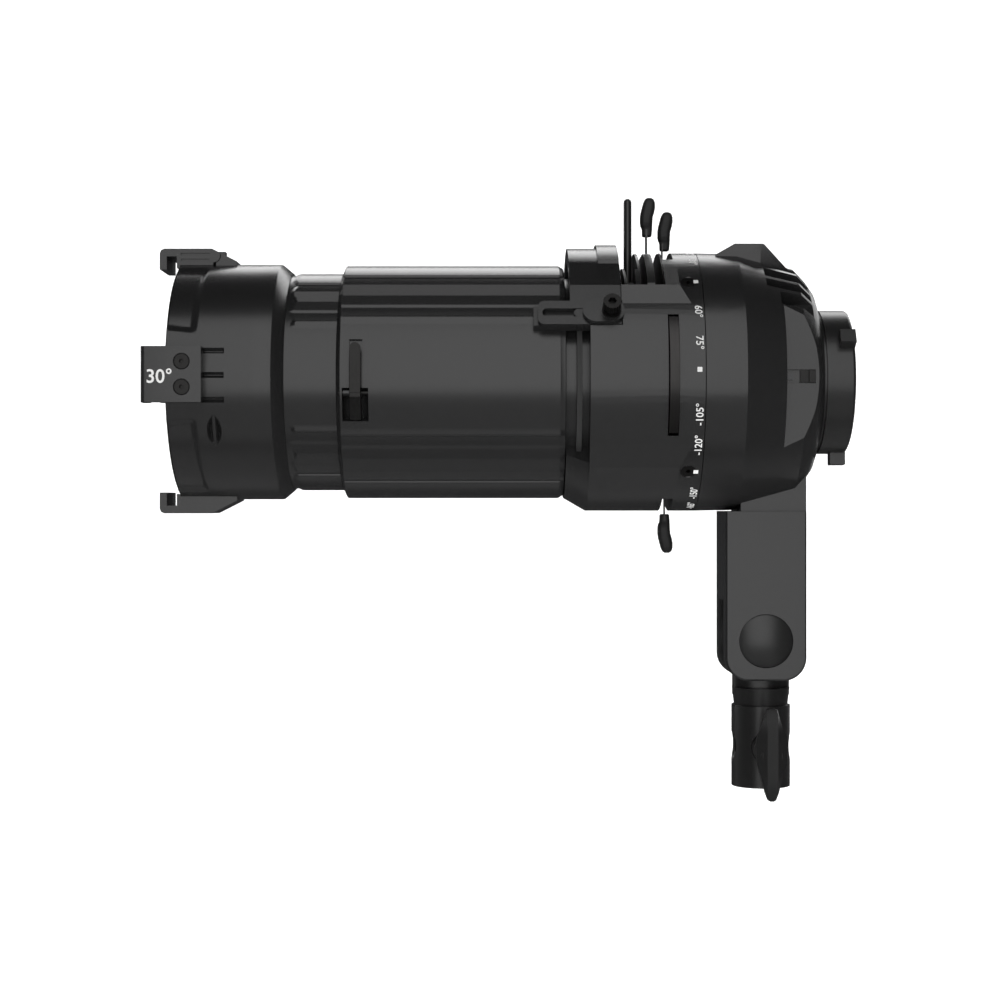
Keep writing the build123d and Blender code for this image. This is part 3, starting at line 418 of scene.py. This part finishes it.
def neck_relief(x, phi):
    """Ribs of the neck over NECK_R, with pointed chamfered front ends."""
    fold = quadrant(phi)
    point = 2.2 * np.abs(np.mod(fold - 30, 14) - 7) / 7
    rise = np.clip((x + 224.4 - point) / 1.8, 0, 1)
    return NEAR_DEPTH + (rib_height(phi, NECK_R) - NEAR_DEPTH) * rise


def neck_mesh():
    loop = [(-225.5, 49.9, 0), (-225.5, NECK_R, 1)] + along(-224.8, -219.6, 0.4, NECK_R)
    loop += [(-201.4, NECK_R, 1), (-201.4, 49.8, 0), (-134, 49.8, 0), (-134, 46.6, 0), (-235.5, 46.6, 0),
             (-235.5, 49.9, 0)]
    return turned_shell("lens_tube_shell", loop, RIB_ANGLES, neck_relief, crease=10)


POCKET = (-198.4, -186.5, -22.1, -6.0)      # latch pocket: x from and to, phi from and to
BAR_BED = (-195.1, -189.3, -6.0, 17.4)
TONGUE_BED = (-111.0, -90.0, 22.1, 32.9)
POCKET_MIDDLE = (POCKET[0] + POCKET[1]) / 2
BAR_DEPTH, TONGUE_DEPTH, TROUGH_DEPTH, TROUGH_SLOPE = -2.1, -1.5, -1.0, 0.78


def in_box(x, phi, box):
    return (x > box[0]) & (x < box[1]) & (phi > box[2]) & (phi < box[3])


def barrel_relief(x, phi):
    """Ribs, the latch's pocket and bed and the tongue's bed, over BARREL_R."""
    height = rib_height(phi)
    height = np.where(in_box(x, phi, BAR_BED), BAR_DEPTH, height)
    height = np.where(in_box(x, phi, TONGUE_BED), np.minimum(height, TONGUE_DEPTH), height)
    trough = TROUGH_DEPTH - TROUGH_SLOPE * np.abs(x - POCKET_MIDDLE)
    return np.where(in_box(x, phi, POCKET), trough, height)


def barrel_mesh():
    corners = [POCKET[2], POCKET[3], BAR_BED[3], TONGUE_BED[2], TONGUE_BED[3]]
    loop = [(-201.5, 50.0, 0), (-201.5, 51.8, 0), (-201.3, 52.2, 0), (-199.8, 55.6, 1), (-199.4, BARREL_R, 1)]
    for x in (POCKET[0], BAR_BED[0], POCKET_MIDDLE, BAR_BED[1], POCKET[1], TONGUE_BED[0]):
        loop += [(x - STEP, BARREL_R, 1), (x + STEP, BARREL_R, 1)]
    loop += [(-98.6, BARREL_R, 1), (-98.2, 55.9, 1), (-96.3, 54.8, 0), (-96, 54.4, 0), (-96, 50, 0)]
    angles = np.unique(np.round(np.concatenate([RIB_ANGLES, samples(30, corners)]), 3))
    return turned_shell("barrel_shell", loop, angles, barrel_relief, crease=10)


# ---------------------------------------------------------------- lofted pieces

def loft(name, path, sections, power, crease=40, around=48):
    """Superellipse loft: p(k, a) = path_k + wide_k |cos a|^(2/n) side + deep_k |sin a|^(2/n) front.

    path is (x, y, z) in mm for each section, sections is (wide, deep) along X and Y."""
    path, sections = np.array(path, float), np.array(sections, float)
    a = np.linspace(0, 2 * math.pi, around, endpoint=False)
    reach = np.abs(np.cos(a)) ** (2 / power) * np.sign(np.cos(a))
    depth = np.abs(np.sin(a)) ** (2 / power) * np.sign(np.sin(a))
    flat = np.stack([sections[:, :1] * reach, sections[:, 1:] * depth, np.zeros((len(path), around))], -1)
    points = (flat + path[:, None]) * MM
    rows = len(path)
    side = grid_faces(rows, around, False)
    first, last = list(range(around)), list(range((rows - 1) * around, rows * around))
    if path[-1, 2] > path[0, 2]:
        return new_mesh(name, points, side[:, ::-1].tolist() + [first[::-1], last], crease)
    return new_mesh(name, points, side.tolist() + [first, last[::-1]], crease)


# moulded pull knob: (height over the foot, middle, half width, half depth)
KNOB = np.array([(0, 0.3, 1.9, 1.9), (0.4, 0.3, 2.3, 2.3), (3.3, 0.4, 2.5, 2.5), (4.2, 0.3, 2.6, 2.7),
                 (5.0, 0.1, 2.85, 3.0), (6.6, 0.0, 3.0, 3.4), (9.5, 0.1, 3.1, 3.6), (11.7, 0.6, 3.3, 3.6),
                 (13.9, 1.1, 3.2, 3.6), (16.2, 1.4, 2.9, 3.4), (17.6, 1.5, 2.4, 2.9), (18.4, 1.5, 1.8, 2.2),
                 (18.8, 1.5, 1.0, 1.2)])
KNOB_ROWS, KNOB_SQUARENESS = 60, 3.2


def knob_mesh(name, stem_x, foot_z, sign):
    """Pull knob on a stem: sections of KNOB stacked from the foot, up for sign 1 and down for -1."""
    rise = np.linspace(0, KNOB[-1, 0], KNOB_ROWS)
    middle, wide, deep = (np.interp(rise, KNOB[:, 0], KNOB[:, k]) for k in (1, 2, 3))
    path = np.stack([stem_x + middle, 0 * rise, AXIS_Z / MM + foot_z + sign * rise], -1)
    return loft(name, path, np.stack([wide, deep], -1), KNOB_SQUARENESS)


# T handle's wing: (height, half width)
WING = np.array([(-21.6, 1.0), (-21.0, 2.0), (-17.5, 3.3), (-13.5, 4.2), (-8.5, 5.7), (-4.5, 6.9), (1.5, 7.3),
                 (5.5, 7.4), (8.5, 6.9), (13.5, 4.7), (18.0, 3.3), (21.0, 2.6), (21.4, 1.4)])
WING_ROWS, WING_DEPTH, WING_TAPER = 60, 4.6, 23.5
STRIPE_HALF, SIDE_HALF = 2.5, 1.1
HANDLE_Y, HANDLE_Z = -37.7, 19.5


def wing_mesh(name):
    """Leaf with a flat stripe down each face, sloping to narrow sides.

    Corner k of the eight at height h: (+-w(h) or +-stripe, HANDLE_Y +-side or +-d(h), HANDLE_Z + h),
    with d(h) = WING_DEPTH (1 - |h / WING_TAPER|^6)."""
    rise = np.concatenate(([WING[0, 0]], np.linspace(WING[1, 0], WING[-2, 0], WING_ROWS), [WING[-1, 0]]))
    wide = np.interp(rise, WING[:, 0], WING[:, 1])
    deep = WING_DEPTH * np.clip(1 - (np.abs(rise) / WING_TAPER) ** 6, 0.1, 1)
    stripe = np.minimum(STRIPE_HALF, 0.8 * wide)
    side = np.minimum(SIDE_HALF, 0.6 * deep)
    x = np.stack([wide, stripe, -stripe, -wide, -wide, -stripe, stripe, wide], -1)
    y = np.stack([side, deep, deep, side, -side, -deep, -deep, -side], -1)
    z = np.repeat((HANDLE_Z + rise)[:, None], 8, 1)
    points = np.stack([x, y + HANDLE_Y, z], -1) * MM
    rows = len(rise)
    caps = [list(range(8))[::-1], list(range((rows - 1) * 8, rows * 8))]
    return new_mesh(name, points, grid_faces(rows, 8, False)[:, ::-1].tolist() + caps, 20)


def drum_mesh(name, profile, centre, around=64):
    """Solid of revolution about a line along Y: p(s, a) = (x0 + r cos a, y, z0 + r sin a)."""
    y, r = (np.array(column, float)[:, None] for column in zip(*profile))
    a = np.linspace(0, 2 * math.pi, around, endpoint=False)
    points = np.stack([centre[0] + r * np.cos(a), y + 0 * a, centre[1] + r * np.sin(a)], -1) * MM
    rows = len(profile)
    caps = [list(range(around))[::-1], list(range((rows - 1) * around, rows * around))]
    return new_mesh(name, points, grid_faces(rows, around, False).tolist() + caps, 30)


GATE_R, PRINT_DEPTH = 62.1, 0.05
DIGIT_HEIGHT = 0.69      # height of a digit in a font of size 1


def flat_text(body, height):
    """Vertices and faces of a plain label, centred, height mm tall over its digits."""
    curve = bpy.data.curves.new("label", "FONT")
    curve.body, curve.extrude, curve.offset = body, 0.01, 0.012
    curve.resolution_u = 4
    holder = bpy.data.objects.new("label", curve)
    bpy.context.scene.collection.objects.link(holder)
    bpy.context.view_layer.update()
    mesh = bpy.data.meshes.new_from_object(holder.evaluated_get(bpy.context.evaluated_depsgraph_get()))
    bpy.data.objects.remove(holder)
    work = bmesh.new()
    work.from_mesh(mesh)
    bmesh.ops.remove_doubles(work, verts=work.verts, dist=1e-5)
    bmesh.ops.triangulate(work, faces=work.faces)
    work.to_mesh(mesh)
    work.free()
    flat = np.empty(len(mesh.vertices) * 3)
    mesh.vertices.foreach_get("co", flat)
    flat = flat.reshape(-1, 3)
    middle = [np.ptp(flat[:, 0]) / 2 + flat[:, 0].min(), DIGIT_HEIGHT / 2]
    flat[:, :2] = (flat[:, :2] - middle) * height / DIGIT_HEIGHT
    flat[:, 2] = np.sign(flat[:, 2]) * PRINT_DEPTH
    faces = [list(face.vertices) for face in mesh.polygons]
    return flat, faces


def scale_label(body, phi, up, height=3.3, x=-35.7):
    """Label wrapped on the gate: p = (x + up t, R along phi - up s / R); up is +1 or -1."""
    flat, faces = flat_text(body, height)
    turn = math.radians(phi) - up * flat[:, 0] / GATE_R
    r = GATE_R + flat[:, 2]
    points = np.stack([x + up * flat[:, 1], -r * np.cos(turn), AXIS_Z / MM + r * np.sin(turn)], -1) * MM
    return points, faces


def scale_mark(phi, size=2.2, x=-35.9):
    """Small printed square on the gate: p = (x + s, R along phi + t / R), s and t within size / 2."""
    n = 5
    s = np.linspace(-size / 2, size / 2, n)
    grid = np.stack(np.meshgrid(s, s, indexing="ij"), -1).reshape(-1, 2)
    starts = [n * i + j for i in range(n - 1) for j in range(n - 1)]
    faces = [[k, k + 1, k + n + 1, k + n] for k in starts]
    rim = [n * i for i in range(n)] + [n * (n - 1) + j for j in range(1, n)]
    rim += [n * i + n - 1 for i in range(n - 2, -1, -1)] + list(range(n - 2, 0, -1))
    count = len(grid)
    sides = [[a, b, b + count, a + count] for a, b in zip(rim, rim[1:] + rim[:1])]
    back = [[k + count for k in face][::-1] for face in faces]
    turn = math.radians(phi) + grid[:, 1] / GATE_R
    both = [np.stack([x + grid[:, 0], -r * np.cos(turn), AXIS_Z / MM + r * np.sin(turn)], -1) * MM
            for r in (GATE_R + PRINT_DEPTH, GATE_R - PRINT_DEPTH)]
    return np.concatenate(both), faces + sides + back


def joined_mesh(name, parts, crease=30):
    """One mesh of several (points, faces) parts, with its faces turned outwards."""
    faces, start = [], 0
    for points, own in parts:
        faces += [[corner + start for corner in face] for face in own]
        start += len(points)
    mesh = new_mesh(name, np.concatenate([points for points, own in parts]), faces, crease)
    work = bmesh.new()
    work.from_mesh(mesh)
    bmesh.ops.recalc_face_normals(work, faces=work.faces)
    work.to_mesh(mesh)
    work.free()
    return mesh


def rotation_scale():
    """Degrees of the rotating gate, both ways from the zero mark on the near side."""
    parts = [scale_mark(phi) for phi in (2, 45, 92, 135, 182, -45, -88, -135)]
    for phi, degrees in zip((13.5, 28, 62, 77), (75, 60, 30, 15)):
        parts.append(scale_label("%d\u00b0" % degrees, phi, 1))
        parts.append(scale_label("%d\u00b0" % degrees, phi - 180, 1))
    for phi, degrees in zip((-17, -31, -60, -74), (105, 120, 150, 165)):
        parts.append(scale_label("-%d\u00b0" % degrees, phi, -1))
        parts.append(scale_label("-%d\u00b0" % degrees, phi + 180, -1))
    return joined_mesh("rotation_scale", parts)


def claw_number(body="30\u00b0", height=6.0, x=-280.2, z=-0.9, y=-63.3):
    """Beam angle in degrees, flat on the near claw."""
    flat, faces = flat_text(body, height)
    points = np.stack([x + flat[:, 0], y - flat[:, 2], AXIS_Z / MM + z + flat[:, 1]], -1) * MM
    return joined_mesh("beam_angle_number", [(points, faces)])


add_piece("front_hood_shell", hood_mesh(), "barrel", "casting_black", stands_for=("front_hood",))
add_piece("lens_tube_shell", neck_mesh(), "barrel", "casting_black", stands_for=("lens_tube",))
add_piece("barrel_shell", barrel_mesh(), "barrel", "casting_black", stands_for=("barrel",))
add_piece("t_handle_wing", wing_mesh("t_handle_wing"), "t_handle", "knob_plastic", stands_for=("t_handle",))
HUB = ((-41.0, 4.6), (-40.4, 5.4), (-36.0, 6.6), (-23.0, 6.6), (-22.2, 5.8))
add_piece("t_handle_hub", drum_mesh("t_handle_hub", HUB, (0.0, HANDLE_Z)), "t_handle", "knob_plastic")
add_piece("rotation_scale", rotation_scale(), "gate", "casting_black", PRINT)
add_piece("beam_angle_number", claw_number(), "barrel", "casting_black", PRINT)
# knobs: (CAD node, body, X of the stem, foot over the beam axis, up or down)
KNOBS = (("gobo_knob", "gobo", -55.5, 70.6, 1), ("shutter_knob_top", "shutter_top", -47.0, 63.7, 1),
         ("shutter_knob_bottom", "shutter_bottom", -47.0, -63.7, -1))
for node, body, stem_x, foot_z, sign in KNOBS:
    moulding = node + "_moulding"
    add_piece(moulding, knob_mesh(moulding, stem_x, foot_z, sign), body, "knob_plastic", stands_for=(node,))


# ---------------------------------------------------------------- stage, lights and camera

MIDDLE = (-0.13, 0.0, 0.16)
FLOOR_Z, WALL_Y, WALL_TOP, BEND, FLOOR_REACH = -0.16, 2.6, 4.5, 0.9, 30.0
LENS, SENSOR, CAMERA_PLACE = 68.4, 36.0, (-0.1263, -0.921, 0.1379)
# softboxes: (name, place, width, height, watts)
LIGHTS = (
    ("front_box", (-0.13, -2.18, 1.17), 1.9, 3.7, 38),
    ("top_back_box", (0.1, 2.0, 1.9), 3.5, 1.05, 36),
    ("low_fill", (-0.13, -1.6, -0.9), 2.0, 2.0, 4),
    ("under_box", (-0.13, 0.3, -1.4), 2.2, 1.8, 2.4),
    ("back_fill", (1.5, 2.1, 0.6), 1.4, 1.6, 9),
    ("front_end_fill", (-2.6, 1.3, 0.7), 1.4, 1.6, 9),
)

def plain_surface(name, tone):
    g = Graph(name)
    mottle = g.noise(3, 2.0)
    colour = g.blend(mottle, (tone * 0.995,) * 3, (tone,) * 3)
    return g.finish(Base_Color=colour, Roughness=0.9, Emission_Color=(1, 1, 1, 1), Emission_Strength=0.62)


def backdrop():
    """Floor that sweeps up into a wall: z = FLOOR_Z, then a quarter circle of radius BEND, then upright."""
    turn = np.linspace(0, math.pi / 2, 24)
    y = np.concatenate(([-FLOOR_REACH], WALL_Y - BEND + BEND * np.sin(turn), [WALL_Y]))
    z = np.concatenate(([0.0], BEND - BEND * np.cos(turn), [WALL_TOP])) + FLOOR_Z
    x = np.array([-FLOOR_REACH, FLOOR_REACH])
    points = np.stack([np.repeat(x, len(y)), np.tile(y, 2), np.tile(z, 2)], 1)
    count = len(y)
    faces = [(i, i + count, i + 1 + count, i + 1)[::-1] for i in range(count - 1)]
    mesh = bpy.data.meshes.new("backdrop")
    mesh.from_pydata(points.tolist(), [], faces)
    mesh.polygons.foreach_set("use_smooth", np.ones(len(faces), bool))
    sweep = bpy.data.objects.new("backdrop", mesh)
    mesh.materials.append(plain_surface("pale_paper", 0.86))
    bpy.context.scene.collection.objects.link(sweep)
    sweep.visible_glossy = False
    sweep.visible_shadow = False


def softbox(name, place, width, height, power):
    """Rectangular area light at a place, turned to the middle of the object."""
    light = bpy.data.lights.new(name, "AREA")
    light.shape, light.size, light.size_y = "RECTANGLE", width, height
    light.energy = power
    lamp = bpy.data.objects.new(name, light)
    lamp.location = place
    direction = np.array(MIDDLE) - np.array(place)
    lamp.rotation_mode = "QUATERNION"
    lamp.rotation_quaternion = Vector(direction).to_track_quat("-Z", "Y")
    lamp.visible_camera = False
    bpy.context.scene.collection.objects.link(lamp)


def camera():
    """Level camera on the near side, square to the beam axis."""
    data = bpy.data.cameras.new("camera")
    data.lens, data.sensor_width = LENS, SENSOR
    data.clip_start, data.clip_end = 0.01, 50.0
    view = bpy.data.objects.new("camera", data)
    view.location = CAMERA_PLACE
    view.rotation_euler = (math.pi / 2, 0, 0)
    bpy.context.scene.collection.objects.link(view)
    bpy.context.scene.camera = view


backdrop()
camera()
for light in LIGHTS:
    softbox(*light)
world = bpy.data.worlds.new("studio")
world.use_nodes = True
world.node_tree.nodes["Background"].inputs["Color"].default_value = (0.04, 0.04, 0.041, 1)
bpy.context.scene.world = world
bpy.context.scene.view_settings.view_transform = "Standard"
